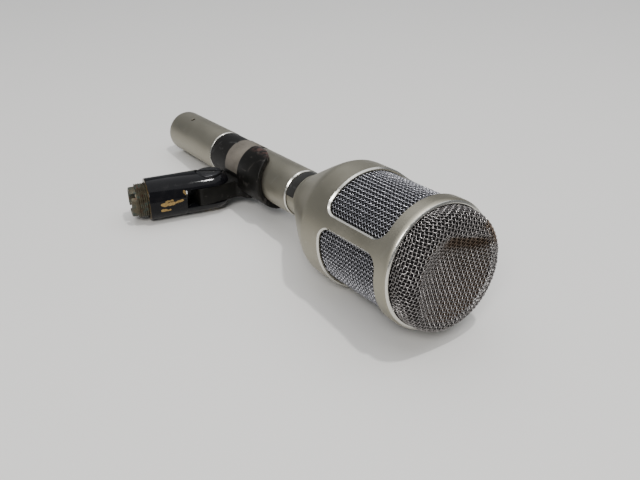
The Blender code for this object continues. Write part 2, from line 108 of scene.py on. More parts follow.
def placement(origin, x_dir, z_dir):
    """The matrix of a local frame with X and Z along the given directions."""
    x, z = x_dir.normalized(), z_dir.normalized()
    turn = Matrix((x, z.cross(x), z)).transposed().to_4x4()
    return Matrix.Translation((origin + CENTRE_SHIFT) * MM) @ turn


MIC = placement(Vector((0.0, 0.0, REAR_HEIGHT)), AXIS_UP, AXIS)
ARM = placement(PIVOT_AT, PIVOT_DIR, AXIS)
BASE = placement(PIVOT_AT, PIVOT_DIR, BASE_DIR)


# ---- shapes ----
def arc(centre, radius, start_deg, end_deg, count):
    """Points of a circular arc, both ends included."""
    turns = np.radians(np.linspace(start_deg, end_deg, count))
    return [(centre[0] + radius * math.cos(t), centre[1] + radius * math.sin(t)) for t in turns]


def softened(points, closed=True, steps=4):
    """The outline with each corner (a, b, radius) that has a radius replaced by a curve."""
    made = []
    for k, point in enumerate(points):
        radius = point[2] if len(point) > 2 else 0.0
        here = np.array(point[:2], float)
        if radius <= 0 or (not closed and k in (0, len(points) - 1)):
            made.append(tuple(here))
            continue
        before = np.array(points[k - 1][:2], float) - here
        after = np.array(points[(k + 1) % len(points)][:2], float) - here
        reach = min(radius, 0.45 * np.linalg.norm(before), 0.45 * np.linalg.norm(after))
        a = here + before / np.linalg.norm(before) * reach
        b = here + after / np.linalg.norm(after) * reach
        for t in np.linspace(0.0, 1.0, steps + 1):
            made.append(tuple((1 - t) ** 2 * a + 2 * t * (1 - t) * here + t * t * b))
    return made


def flowing(points, per=5):
    """A Catmull-Rom curve through the points."""
    p = np.array([points[0], *points, points[-1]], float)
    p[0], p[-1] = 2 * p[1] - p[2], 2 * p[-2] - p[-3]
    made = []
    for k in range(1, len(p) - 2):
        for t in np.linspace(0.0, 1.0, per, endpoint=False):
            made.append(tuple(catmull(p[k - 1], p[k], p[k + 1], p[k + 2], t)))
    made.append(tuple(p[-2]))
    return made


def catmull(a, b, c, d, t):
    square, cube = 2 * a - 5 * b + 4 * c - d, 3 * b - a - 3 * c + d
    return 0.5 * (2 * b + (c - a) * t + square * t * t + cube * t**3)


def added(name, data):
    """A new object in the scene."""
    obj = bpy.data.objects.new(name, data)
    bpy.context.scene.collection.objects.link(obj)
    return obj


def solid(name, verts, faces, merged=True):
    """A mesh object in local millimetres, made into metres, its faces pointing outwards."""
    mesh = bpy.data.meshes.new(name)
    mesh.from_pydata((np.asarray(verts, float) * MM).tolist(), [], faces)
    work = bmesh.new()
    work.from_mesh(mesh)
    if merged:
        bmesh.ops.remove_doubles(work, verts=work.verts, dist=1e-7)
        bmesh.ops.recalc_face_normals(work, faces=work.faces)
    if work.calc_volume(signed=True) < 0:
        bmesh.ops.reverse_faces(work, faces=work.faces)
    work.to_mesh(mesh)
    work.free()
    mesh.update()
    return added(name, mesh)


def lathe(name, profile, segs=160, closed=True, offset=(0.0, 0.0)):
    """A solid turned about local Z from (radius, height) points."""
    points = np.array(profile, float)
    turns = np.arange(segs) * math.tau / segs
    count = len(points)
    verts = np.empty((segs, count, 3))
    verts[:, :, 0] = np.outer(np.cos(turns), points[:, 0]) + offset[0]
    verts[:, :, 1] = np.outer(np.sin(turns), points[:, 0]) + offset[1]
    verts[:, :, 2] = points[:, 1]
    faces = []
    for s in range(segs):
        a, b = s * count, (s + 1) % segs * count
        for k in range(count if closed else count - 1):
            n = (k + 1) % count
            face = [a + k, b + k, b + n, a + n]
            if points[k, 0] == 0:
                face = [a + k, b + n, a + n]
            elif points[n, 0] == 0:
                face = [a + k, b + k, a + n]
            faces.append(face)
    return solid(name, verts.reshape(-1, 3), faces)


def rod(name, radius, low, high, segs):
    """A round bar along local Z, or a prism where there are few segments."""
    return lathe(name, [(0.0, low), (radius, low), (radius, high), (0.0, high)], segs, False)


def block(name, half_y, low_z, high_z, low_x, high_x):
    """A box that is centred on local Y = 0."""
    outline = [(-half_y, low_z), (half_y, low_z), (half_y, high_z), (-half_y, high_z)]
    return prism(name, outline, low_x, high_x)


def prism(name, outline, low, high):
    """A flat outline of (Y, Z) points, extruded along local X."""
    count = len(outline)
    verts = [(low, y, z) for y, z in outline] + [(high, y, z) for y, z in outline]
    faces = [tuple(range(count)), tuple(range(2 * count - 1, count - 1, -1))]
    faces += [(i, i + count, (i + 1) % count + count, (i + 1) % count) for i in range(count)]
    return solid(name, verts, faces)


def loft(name, loops):
    """A solid through closed loops of the same number of points, capped at both ends."""
    count = len(loops[0])
    verts = [tuple(p) for loop in loops for p in loop]
    faces = []
    for level in range(len(loops) - 1):
        a = level * count
        for k in range(count):
            n = (k + 1) % count
            faces.append((a + k, a + n, a + count + n, a + count + k))
    faces += [tuple(range(count)), tuple(range(len(verts) - count, len(verts)))]
    return solid(name, verts, faces)


def bake_modifiers(obj):
    """Keeps the mesh that the modifiers make."""
    graph = bpy.context.evaluated_depsgraph_get()
    made = bpy.data.meshes.new_from_object(obj.evaluated_get(graph))
    old = obj.data
    obj.modifiers.clear()
    obj.data = made
    bpy.data.meshes.remove(old)


def combine(obj, other, operation="DIFFERENCE"):
    """Cuts the other object from this one, or joins it, and removes it."""
    mod = obj.modifiers.new(operation, "BOOLEAN")
    mod.operation, mod.solver, mod.object = operation, "EXACT", other
    bpy.context.view_layer.update()
    bake_modifiers(obj)
    bpy.data.objects.remove(other)


def round_edges(obj, width, segments=2, degrees=28.0):
    """Bevels every edge sharper than the given angle."""
    work = bmesh.new()
    work.from_mesh(obj.data)
    bmesh.ops.remove_doubles(work, verts=work.verts, dist=2e-6)
    bmesh.ops.dissolve_limit(work, angle_limit=math.radians(0.3), verts=work.verts, edges=work.edges)
    work.to_mesh(obj.data)
    work.free()
    mod = obj.modifiers.new("bevel", "BEVEL")
    mod.width, mod.segments = width * MM, segments
    mod.limit_method, mod.angle_limit = "ANGLE", math.radians(degrees)
    mod.use_clamp_overlap = True
    bpy.context.view_layer.update()
    bake_modifiers(obj)


def turned_by(obj, matrix):
    """Moves the mesh itself, so that the object stays at the origin."""
    obj.data.transform(matrix)
    return obj


def about_pivot(obj):
    """Turns a lathe's Z to local X, the pivot axis."""
    return turned_by(obj, Matrix.Rotation(math.pi / 2, 4, "Y"))


def finished(obj, where, body, looks, stands_for, smooth_deg=32.0):
    """Places a piece in its local frame, smooths it, gives it its materials and body, and hides the CAD
    node that it stands for.
    """
    obj.data.transform(where)
    marks = [face.material_index for face in obj.data.polygons]
    obj.data.materials.clear()
    for look in looks if isinstance(looks, list) else [looks]:
        obj.data.materials.append(look)
    if isinstance(looks, list):
        obj.data.polygons.foreach_set("material_index", marks)
    obj.data.shade_smooth()
    obj.data.set_sharp_from_angle(angle=math.radians(smooth_deg))
    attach(obj, body)
    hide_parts(stands_for)


def on_microphone(obj, looks, stands_for, smooth_deg=32.0):
    finished(obj, MIC, "microphone", looks, stands_for, smooth_deg)


# ---- materials ----
class Look:
    """A Principled material whose nodes are added in code."""

    def __init__(self, name, metallic, roughness, where=MIC):
        self.mat = bpy.data.materials.new(name)
        self.mat.use_nodes = True
        self.tree = self.mat.node_tree
        self.bsdf = self.tree.nodes["Principled BSDF"]
        self.set(self.bsdf, Metallic=metallic, Roughness=roughness)
        self.coord = self.add("ShaderNodeTexCoord").outputs["Object"]
        back = where.inverted()
        self.coord = self.mapped(Location=back.translation, Rotation=back.to_euler("XYZ"))
        self.normal = None

    def set(self, node, **values):
        """Sets or links inputs, given by name with _ for a space, or as i and a number."""
        for key, value in values.items():
            numbered = key[0] == "i" and key[1:].isdigit()
            socket = node.inputs[int(key[1:]) if numbered else key.replace("_", " ")]
            if isinstance(value, bpy.types.NodeSocket):
                self.tree.links.new(value, socket)
            elif isinstance(value, tuple) and len(value) == 3 and socket.type == "RGBA":
                socket.default_value = (*value, 1.0)
            else:
                socket.default_value = value
        return node

    def add(self, kind, props=None, **values):
        node = self.tree.nodes.new(kind)
        for key, value in (props or {}).items():
            setattr(node, key, value)
        return self.set(node, **values)

    def mapped(self, vector=None, **values):
        """The vector, or the local position, put through a mapping."""
        return self.add("ShaderNodeMapping", Vector=vector or self.coord, **values).outputs[0]

    def noise(self, scale, detail=3.0, stretch=(1, 1, 1), rough=0.55, at=0.0):
        """A noise value from 0 to 1; scale is in cells per metre."""
        values = {"Scale": scale, "Detail": detail, "Roughness": rough}
        moved = self.mapped(Location=(at, at * 0.7, -at), Scale=stretch)
        return self.add("ShaderNodeTexNoise", Vector=moved, **values).outputs["Fac"]

    def ramp(self, value, low, high, to_low=0.0, to_high=1.0):
        """value between low and high, spread over to_low to to_high."""
        props = {"clamp": True, "interpolation_type": "SMOOTHSTEP"}
        limits = {"From_Min": low, "From_Max": high, "To_Min": to_low, "To_Max": to_high}
        return self.add("ShaderNodeMapRange", props, Value=value, **limits).outputs[0]

    def maths(self, operation, a, b=0.5):
        return self.add("ShaderNodeMath", {"operation": operation}, i0=a, i1=b).outputs[0]

    def vector_maths(self, operation, **values):
        return self.add("ShaderNodeVectorMath", {"operation": operation}, **values).outputs

    def times(self, a, b):
        return self.maths("MULTIPLY", a, b)

    def mix(self, factor, a, b):
        """A colour between a and b."""
        return self.add("ShaderNodeMix", {"data_type": "RGBA"}, i0=factor, i6=a, i7=b).outputs[2]

    def bump(self, height, strength=0.3, distance=0.05):
        """Adds a bump; distance is in millimetres."""
        values = {"Height": height, "Strength": strength, "Distance": distance * MM}
        if self.normal is not None:
            values["Normal"] = self.normal
        self.normal = self.add("ShaderNodeBump", **values).outputs[0]
        self.set(self.bsdf, Normal=self.normal)

    def paint(self, **values):
        self.set(self.bsdf, **values)

    def axes(self):
        node = self.add("ShaderNodeSeparateXYZ", Vector=self.coord)
        return node.outputs[0], node.outputs[1], node.outputs[2]

    def scratches(self, angles=(0.4, -0.9, 1.9), scale=260.0, thin=0.56):
        """Thin random lines, 0 or 1."""
        total = None
        for index, angle in enumerate(angles):
            turned = self.mapped(Rotation=(angle, 0.7 * angle, 0.3 + angle))
            vector = self.mapped(turned, Scale=(0.05, 1.0, 1.0))
            cells = scale * (1 + 0.3 * index)
            node = self.add("ShaderNodeTexNoise", Vector=vector, Scale=cells, Detail=2.0)
            line = self.ramp(node.outputs["Fac"], thin + 0.1, thin + 0.16)
            total = line if total is None else self.maths("MAXIMUM", total, line)
        return total


def satin_nickel(name, worn=0.0):
    """Bead-blasted nickel with a faint olive cast, blotches, grain and hairline scratches."""
    look = Look(name, 1.0, 0.46)
    blotch = look.noise(38.0, 4.0, at=3.1)
    fine = look.noise(2600.0, 2.0)
    scratch = look.scratches()
    base = look.mix(look.ramp(blotch, 0.35, 0.7), (0.305, 0.286, 0.230), (0.348, 0.328, 0.268))
    base = look.mix(look.times(scratch, 0.12), base, (0.48, 0.46, 0.40))
    if worn:
        stain = look.ramp(look.noise(120.0, 5.0, at=7.0), 0.60, 0.72)
        base = look.mix(look.times(stain, worn), base, (0.22, 0.19, 0.14))
    broad, close = look.ramp(blotch, 0.3, 0.75, 0.42, 0.50), look.ramp(fine, 0.3, 0.7, -0.03, 0.05)
    look.paint(Base_Color=base, Roughness=look.maths("ADD", broad, close))
    look.bump(fine, 0.30, 0.012)
    return look.mat


def bright_edge(name, colour, rough):
    """A machined, bare edge with fine turning marks."""
    look = Look(name, 1.0, rough)
    marks = look.noise(1500.0, 2.0, stretch=(1, 1, 0.3))
    tone = look.mix(marks, tuple(0.86 * c for c in colour), colour)
    look.paint(Base_Color=tone, Roughness=look.ramp(marks, 0.3, 0.7, rough, rough + 0.12))
    look.bump(marks, 0.15, 0.01)
    return look.mat


def wire_steel(name, colour, rough, shade_heights=None):
    """Drawn wire with dull patches, and with a painted brown shade on its upper side between the two
    given heights.
    """
    look = Look(name, 1.0, rough)
    grime = look.noise(300.0, 4.0, at=1.0)
    fine = look.noise(4200.0, 2.0, at=2.0)
    base = look.mix(look.ramp(grime, 0.42, 0.75), colour, tuple(0.68 * c for c in colour))
    if shade_heights:
        # painted shade: the upper side between those heights turns brown, where the dent's wall below its
        # upper crease faces down
        x, y, z = look.axes()
        low = look.ramp(z, (shade_heights[0] - 0.8) * MM, (shade_heights[0] + 0.4) * MM)
        high = look.ramp(z, (shade_heights[1] - 0.3) * MM, (shade_heights[1] + 0.3) * MM, 1.0, 0.0)
        inner = look.times(look.ramp(x, 0.004, 0.008), look.ramp(x, 0.0146, 0.0156, 1.0, 0.0))
        inner = look.times(inner, look.times(low, high))
        inner = look.times(inner, look.ramp(y, 0.001, 0.007, 1.0, 0.0))
        base = look.mix(look.times(inner, 0.85), base, (0.085, 0.055, 0.032))
    look.paint(Base_Color=base, Roughness=look.ramp(fine, 0.3, 0.7, rough - 0.05, rough + 0.12))
    look.bump(fine, 0.2, 0.01)
    return look.mat


def dark_coat(name, colour, rough, wear=0.3):
    """Paint or moulded plastic: grain, faint dust and rubbed places."""
    look = Look(name, 0.0, rough)
    cloud = look.noise(60.0, 4.0, at=5.0)
    fine = look.noise(1800.0, 2.0)
    scratch = look.scratches(scale=320.0)
    lighter = tuple(min(1.0, c * 2.3 + 0.012) for c in colour)
    base = look.mix(look.times(look.ramp(cloud, 0.4, 0.8), wear), colour, lighter)
    base = look.mix(look.times(scratch, 0.25), base, tuple(c + 0.10 for c in colour))
    look.paint(Base_Color=base, Roughness=look.ramp(cloud, 0.3, 0.8, rough - 0.06, rough + 0.10))
    look.paint(Specular_IOR_Level=0.14)
    look.bump(fine, 0.25, 0.02)
    return look.mat


def foam(name, colour):
    """Open-cell acoustic foam."""
    look = Look(name, 0.0, 0.95)
    props = {"feature": "F1"}
    cells = look.add("ShaderNodeTexVoronoi", props, Vector=look.coord, Scale=1400.0).outputs["Distance"]
    base = look.mix(look.ramp(cells, 0.0, 0.6), tuple(0.4 * c for c in colour), colour)
    look.paint(Base_Color=base, Specular_IOR_Level=0.15)
    look.bump(cells, 0.8, 0.3)
    return look.mat


NICKEL = satin_nickel("satin_nickel")
NICKEL_WORN = satin_nickel("satin_nickel_worn", 0.55)
EDGE = bright_edge("bright_edge", (0.66, 0.645, 0.59), 0.17)
WIRE = wire_steel("woven_wire", (0.23, 0.23, 0.25), 0.19)
# the front mesh's copy has a painted brown shade below the dent's upper crease
CAP_WIRE = wire_steel("woven_wire_front", (0.27, 0.255, 0.250), 0.19, (209.6, 212.1))
BAND = dark_coat("black_band", (0.0065, 0.0062, 0.0055), 0.48)
LABEL = dark_coat("label_black", (0.017, 0.017, 0.016), 0.42, wear=0.5)
RUBBER = dark_coat("rubber", (0.020, 0.020, 0.021), 0.75)
DARK_FOAM = foam("foam_dark", (0.014, 0.013, 0.013))
# painted light: the foam seen through the dent is a lighter brown than the same foam elsewhere, standing
# in for brown light in the dent
FACE_FOAM_PAINTED_LIGHT = foam("foam_face_painted_light", (0.085, 0.055, 0.032))
INSERT = dark_coat("insert_plastic", (0.016, 0.016, 0.017), 0.5)


def grip_tape_look():
    """Old adhesive strip: grey-mauve, matte, dirty along its edges."""
    look = Look("grip_strip", 0.0, 0.72)
    cloud = look.noise(90.0, 5.0, at=2.0)
    weave = look.noise(2200.0, 2.0, stretch=(1, 1, 0.5))
    base = look.mix(look.ramp(cloud, 0.35, 0.7), (0.108, 0.096, 0.080), (0.158, 0.140, 0.116))
    z = look.axes()[2]
    middle = 0.5 * (STRIP_FROM + STRIP_TO) * MM
    away = look.maths("ABSOLUTE", look.maths("SUBTRACT", z, middle))
    edge = look.ramp(look.maths("ADD", away, look.times(cloud, 0.0018)), 0.0068, 0.0076)
    base = look.mix(look.times(edge, 0.75), base, (0.070, 0.055, 0.048))
    look.paint(Base_Color=base, Roughness=look.ramp(weave, 0.3, 0.7, 0.62, 0.82), Specular_IOR_Level=0.35)
    look.bump(weave, 0.35, 0.03)
    return look.mat


def clamp_look():
    """Matte black moulded plastic, scuffed, with a painted reddish reflection on its upper tip."""
    look = Look("clamp_plastic", 0.0, 0.46)
    x, y, z = look.axes()
    cloud = look.noise(110.0, 5.0, at=4.0)
    fine = look.noise(2400.0, 2.0)
    base = look.mix(look.ramp(cloud, 0.4, 0.8), (0.0040, 0.0038, 0.0032), (0.0105, 0.0098, 0.0085))
    # painted reflection: lighter and reddish towards the top and on the side turned from the camera,
    # broken up by noise
    top_sheen = look.ramp(look.maths("SUBTRACT", x, look.times(y, 0.55)), 0.0078, 0.0128)
    top_sheen = look.times(top_sheen, look.ramp(look.noise(420.0, 4.0, at=9.0), 0.42, 0.62))
    base = look.mix(look.times(top_sheen, 0.6), base, (0.165, 0.085, 0.070))
    scratch = look.scratches(scale=300.0)
    base = look.mix(look.times(scratch, 0.22), base, (0.13, 0.12, 0.11))
    look.paint(Base_Color=base, Roughness=look.ramp(cloud, 0.3, 0.8, 0.38, 0.56), Specular_IOR_Level=0.15)
    look.bump(fine, 0.25, 0.02)
    return look.mat


def capsule_mask(look, a, b, radius, along, around):
    """1 inside a stroke from a to b, both (distance along, degrees round) on the base's side."""
    radians = [math.radians(p[1]) * BASE_R * MM for p in (a, b)]
    start = Vector((a[0] * MM, radians[0], 0.0))
    end = Vector((b[0] * MM, radians[1], 0.0))
    point = look.add("ShaderNodeCombineXYZ", X=along, Y=around).outputs[0]
    line = end - start
    rel = look.vector_maths("SUBTRACT", i0=point, i1=tuple(start))[0]
    unit = tuple(line / max(line.length, 1e-9))
    t = look.vector_maths("DOT_PRODUCT", i0=rel, i1=unit)["Value"]
    t = look.maths("MINIMUM", look.maths("MAXIMUM", t, 0.0), line.length)
    foot = look.vector_maths("SCALE", i0=unit, Scale=t)[0]
    gap = look.vector_maths("DISTANCE", i0=rel, i1=foot)["Value"]
    wobble = look.times(look.noise(700.0, 5.0, at=a[0]), radius * MM * 3.6)
    reach = look.maths("SUBTRACT", look.maths("ADD", gap, wobble), radius * MM * 2.75)
    return look.ramp(reach, -0.00004, 0.00012, 1.0, 0.0)


def base_look():
    """Glossy black plating with chips through to brass, scratches and dust specks, and one painted
    highlight drawn like a chip.
    """
    look = Look("base_black", 0.0, 0.10, where=BASE)
    x, y, z = look.axes()
    turn = look.add("ShaderNodeMath", {"operation": "ARCTAN2"}, i0=y, i1=x).outputs[0]
    around = look.times(turn, BASE_R * MM)
    strokes = [((-24.4, 92.0), (-19.0, 92.5), 0.70), ((-18.0, 90.5), (-15.0, 87.5), 0.42)]
    # the first stroke here, just above the main streak, is a painted highlight in the chip colour; the
    # second is a chip
    strokes += [((-22.5, 84.0), (-19.5, 83.0), 0.35), ((-24.5, 108.5), (-21.0, 110.5), 0.50)]
    strokes += [((-13.8, 66.0), (-13.4, 70.0), 0.55)]
    chips_and_glint = None
    for a, b, radius in strokes:
        mask = capsule_mask(look, a, b, radius, z, around)
        chips_and_glint = mask if chips_and_glint is None else look.maths("MAXIMUM", chips_and_glint, mask)
    wear = look.noise(260.0, 5.0, at=6.0)
    worn_to = look.maths("ADD", z, look.times(wear, 0.0012))
    rim = look.ramp(worn_to, TAIL * MM + 0.0006, TAIL * MM + 0.0011, 1.0, 0.0)
    chips_and_glint = look.maths("MAXIMUM", chips_and_glint, look.times(rim, 0.3))
    scratch = look.scratches((0.5, 1.3), 240.0, 0.58)
    dull = look.times(look.ramp(wear, 0.5, 0.8), 0.6)
    base = look.mix(dull, (0.004, 0.004, 0.005), (0.010, 0.009, 0.010))
    base = look.mix(look.times(scratch, 0.35), base, (0.10, 0.10, 0.10))
    brass = look.mix(look.noise(1500.0, 3.0), (0.20, 0.125, 0.045), (0.42, 0.29, 0.12))
    base = look.mix(chips_and_glint, base, brass)
    rough = look.ramp(wear, 0.35, 0.8, 0.07, 0.17)
    rough = look.maths("ADD", rough, look.times(look.maths("MAXIMUM", chips_and_glint, scratch), 0.25))
    look.paint(Base_Color=base, Roughness=rough, Specular_IOR_Level=0.16)
    look.paint(Metallic=look.times(chips_and_glint, 0.9))
    look.bump(look.times(chips_and_glint, -1.0), 0.6, 0.08)
    look.bump(look.noise(700.0, 2.0), 0.03, 0.03)
    return look.mat


def corroded_look():
    """Old brass thread: verdigris, reddish copper and dull metal in patches."""
    look = Look("corroded_thread", 0.55, 0.55, where=BASE)
    patch = look.noise(330.0, 5.0, at=2.0, rough=0.65)
    second = look.noise(520.0, 4.0, at=8.0)
    fine = look.noise(3000.0, 3.0)
    metal = look.mix(look.ramp(fine, 0.3, 0.7), (0.055, 0.048, 0.034), (0.130, 0.112, 0.075))
    green = look.mix(look.ramp(patch, 0.50, 0.62), metal, (0.036, 0.052, 0.042))
    red = look.mix(look.ramp(second, 0.57, 0.68), green, (0.080, 0.042, 0.030))
    dirt = look.ramp(look.noise(800.0, 4.0, at=5.0), 0.60, 0.75)
    base = look.mix(look.times(dirt, 0.7), red, (0.030, 0.026, 0.020))
    look.paint(Base_Color=base, Roughness=look.ramp(patch, 0.35, 0.65, 0.38, 0.72))
    look.paint(Metallic=look.ramp(patch, 0.48, 0.62, 0.85, 0.25))
    look.bump(patch, 0.5, 0.10)
    look.bump(fine, 0.4, 0.03)
    return look.mat


def plain_metal(name, colour, rough, spread=0.25, metallic=1.0):
    """Turned or drawn metal with faint clouds and fine lines."""
    look = Look(name, metallic, rough)
    cloud = look.noise(240.0, 4.0, at=3.0)
    fine = look.noise(2600.0, 2.0, stretch=(1, 1, 0.2))
    base = look.mix(look.ramp(cloud, 0.3, 0.75), colour, tuple(c * (1 - spread) for c in colour))
    look.paint(Base_Color=base, Roughness=look.ramp(fine, 0.3, 0.7, rough - 0.05, rough + 0.1))
    look.bump(fine, 0.2, 0.015)
    return look.mat


def board_look():
    """Printed circuit board: green lacquer over copper tracks."""
    look = Look("board_green", 0.0, 0.35)
    props = {"feature": "DISTANCE_TO_EDGE"}
    cell = look.add("ShaderNodeTexVoronoi", props, Vector=look.coord, Scale=320.0).outputs["Distance"]
    track = look.ramp(cell, 0.05, 0.09, 1.0, 0.0)
    base = look.mix(track, (0.020, 0.075, 0.030), (0.060, 0.160, 0.055))
    look.paint(Base_Color=base, Roughness=look.ramp(look.noise(500.0), 0.3, 0.7, 0.28, 0.42))
    look.bump(track, 0.4, 0.05)
    return look.mat


RUST = plain_metal("old_screw", (0.060, 0.040, 0.032), 0.5, 0.5, 0.7)
GOLD = plain_metal("gold_plate", (0.78, 0.56, 0.22), 0.22)
STEEL = plain_metal("plain_steel", (0.52, 0.52, 0.53), 0.34)
BRASS = plain_metal("plain_brass", (0.58, 0.42, 0.17), 0.34)
SCREW = plain_metal("screw_dark", (0.022, 0.022, 0.024), 0.30, 0.5, 0.6)
FILM = plain_metal("capacitor_film", (0.30, 0.20, 0.06), 0.40, 0.3, 0.2)
ADAPTER = corroded_look()
TAPE = grip_tape_look()
CLAMP = clamp_look()
BASE_BLACK = base_look()

# ---- microphone: tube ----
profile = [(TUBE_BORE_R, REAR_END, 0.1), (TUBE_R - 0.35, REAR_END, 0.1)]
profile += [(TUBE_R, REAR_END - TUBE_EDGE, 0.1), (TUBE_R, 3.0)]
profile += [(TUBE_R, 0.0, 1.0), (TUBE_BORE_R, 0.0, 0.25), (TUBE_BORE_R, 30.0)]
rear = lathe("rear_housing", softened(profile), 192)
SET_TURN = Vector((0, 0, 1)).rotation_difference(direction(SET_SCREW_DEG)).to_matrix().to_4x4()
SET_TURN = Matrix.Translation((0.0, 0.0, SET_SCREW_AT * MM)) @ SET_TURN
hole = [(0.0, 8.0), (SET_HOLE_R, 8.0), (SET_HOLE_R, 10.44), (1.25, 10.56), (1.25, 12.0), (0.0, 12.0)]
combine(rear, turned_by(lathe("hole", hole, 48, False), SET_TURN))
for face in rear.data.polygons:
    r, z = face.center.xy.length / MM, face.center.z / MM
    face.material_index = int(z > REAR_END - TUBE_EDGE + 0.01 and r > TUBE_BORE_R + 0.01)
on_microphone(rear, [NICKEL, EDGE], "rear_tube")

profile = softened([(0.0, 9.9), (0.85, 9.9, 0.2), (0.85, 7.0, 0.1), (0.0, 7.0)], False)
screw = lathe("grub_screw", profile, 40, False)
combine(screw, rod("hexagon_hole", 0.42, 9.2, 11.0, 6))
on_microphone(turned_by(screw, SET_TURN), RUST, "set_screw")

profile = [(0.0, 21.5), (9.0, 21.5, 0.3), (9.0, 13.8, 0.4)]
profile += [(7.6, 13.8, 0.2), (7.4, 14.3, 0.2), (0.0, 14.3)]
insert = lathe("connector_insert", softened(profile, False), 96, False)
combine(insert, turned_by(rod("set_screw_hole", SET_HOLE_R, 6.6, 12.0, 32), SET_TURN))
for number, degrees in enumerate((60.0, 180.0, 300.0), start=1):
    at = PIN_CIRCLE_R * direction(degrees)
    bore = [(0.0, 10.0), (1.6, 10.0), (1.6, 14.5), (1.35, 14.8), (1.35, 26.0), (0.0, 26.0)]
    combine(insert, lathe("bore", bore, 40, False, at))
    pin = softened([(0.0, 4.0), (PIN_R, 4.0, 1.0), (PIN_R, 24.0, 0.3), (0.0, 24.0)], False, 6)
    on_microphone(lathe(f"pin_{number}", pin, 40, False, at), GOLD, f"contact_pin_{number}")
on_microphone(insert, INSERT, "xlr_insert")

profile = [(TUBE_BORE_R, BAND_FROM), (BAND_R, BAND_FROM, 0.12)]
profile += [(BAND_R, BAND_TO, 0.12), (TUBE_BORE_R, BAND_TO)]
on_microphone(lathe("band", softened(profile), 192), BAND, "band_sleeve")


def curved_plate(name, columns, rounding=0.05):
    """A thin plate about local Z: columns hold (degrees, low z, high z, inner radius, outer radius)."""
    loops = []
    for degrees, low, high, inner, outer in columns:
        c, s = math.cos(math.radians(degrees)), math.sin(math.radians(degrees))
        cross = [(inner, low), (outer, low, rounding), (outer, high, rounding), (inner, high)]
        loops.append([(r * c, r * s, z) for r, z in softened(cross, True, 3)])
    return loft(name, loops)


# the strip's edges wander, and a notch is torn in one of them
strip = []
for a in np.linspace(STRIP_LOW_DEG, STRIP_HIGH_DEG, 105):
    wander = 0.10 * math.sin(a * 0.21) + 0.06 * math.sin(a * 0.47 + 1.0)
    notch = 0.85 * max(0.0, 1.0 - abs(a - 15.0) / 2.2) ** 0.6
    low, high = STRIP_FROM + 0.1 + wander * 0.6 + notch, STRIP_TO - 0.1 + wander * 0.4
    strip.append((a, low, high, BAND_R + 0.05, BAND_R + 0.26 + 0.02 * math.sin(a * 0.33)))
on_microphone(curved_plate("worn_strip", strip), TAPE, "grip_tape")

profile = [(TUBE_BORE_R, FRONT_END), (TUBE_R - TUBE_EDGE, FRONT_END), (TUBE_R, FRONT_END - TUBE_EDGE)]
profile += [(TUBE_R, 80.9, 0.2), (10.15, FRONT_FROM, 0.2), (TUBE_BORE_R, FRONT_FROM)]
front = lathe("front_housing", softened(profile), 192)
for face in front.data.polygons:
    r, z = face.center.xy.length / MM, face.center.z / MM
    face.material_index = int(z > FRONT_END - TUBE_EDGE + 0.01 and r > TUBE_R - TUBE_EDGE + 0.01)
on_microphone(front, [NICKEL, EDGE], "front_tube")

collar = [(9.0, 130.0), (9.0, 125.3), (9.7, 125.3), (9.7, 119.8), (9.0, 119.8), (9.0, 109.0)]
collar += [(6.5, 109.0), (6.5, 130.0)]
on_microphone(lathe("groove_collar", collar, 160), NICKEL_WORN, "neck_collar")
label = [(a, LABEL_FROM, LABEL_TO, 9.8, 10.1) for a in np.linspace(LABEL_LOW_DEG, LABEL_HIGH_DEG, 97)]
on_microphone(curved_plate("label", label, 0.12), LABEL, "label_band")

# ---- microphone: head cage ----
LIP_FROM, LIP_HIGH, LIP_WIDE = 202.1, 2.2, 1.50
outside = [(10.15, NECK_FROM), (10.5, NECK_FROM + 0.4)]
shoulder = [(10.5, 126.4), (10.75, 128.2), (11.25, 128.9), (12.1, 129.8), (13.35, 131.9), (15.95, 136.5)]
shoulder += [(20.0, 144.0), (22.6, 149.1), (23.45, 150.9), (24.0, 152.4), (24.32, 153.6), (HEAD_R, 155.4)]
outside += flowing(shoulder, 4)
outside += [(HEAD_R, 164.0), (HEAD_R, 198.6)]
for t in np.linspace(0.0, math.pi / 2, 12):
    outside.append((HEAD_R - LIP_WIDE * (1 - math.cos(t)), LIP_FROM + LIP_HIGH * math.sin(t)))
inside = [(22.88, LIP_FROM + LIP_HIGH - 0.12), (22.88, RING_FRONT - 0.3), (HEAD_BORE_R, RING_FRONT - 0.9)]
inside += [(HEAD_BORE_R, 155.8), (22.7, 153.2), (21.6, 150.3)]
inside += [(18.8, 144.6), (14.8, 137.1), (11.6, 131.4), (NECK_BORE_R, 129.0), (NECK_BORE_R, NECK_FROM)]
cage = lathe("head_shell", outside + inside, 240)
CHAMFER = 0.6


def window_columns(grow):
    """(distance round, half height) columns of a rounded window that is larger by grow on every side."""
    half_wide = math.radians((360.0 / WINDOW_COUNT - RIB_DEG) / 2) * HEAD_R + grow
    half_high = (WINDOW_TO - WINDOW_FROM) / 2 + grow
    corner = WINDOW_CORNER + grow
    left = []
    for t in np.radians(np.linspace(0, 90, 13)):
        left.append((-half_wide + corner * (1 - math.cos(t)), half_high - corner * (1 - math.sin(t))))
    middle = [(x, half_high) for x in np.linspace(-half_wide + corner, half_wide - corner, 40)[1:-1]]
    return left + middle + [(-x, h) for x, h in reversed(left)]


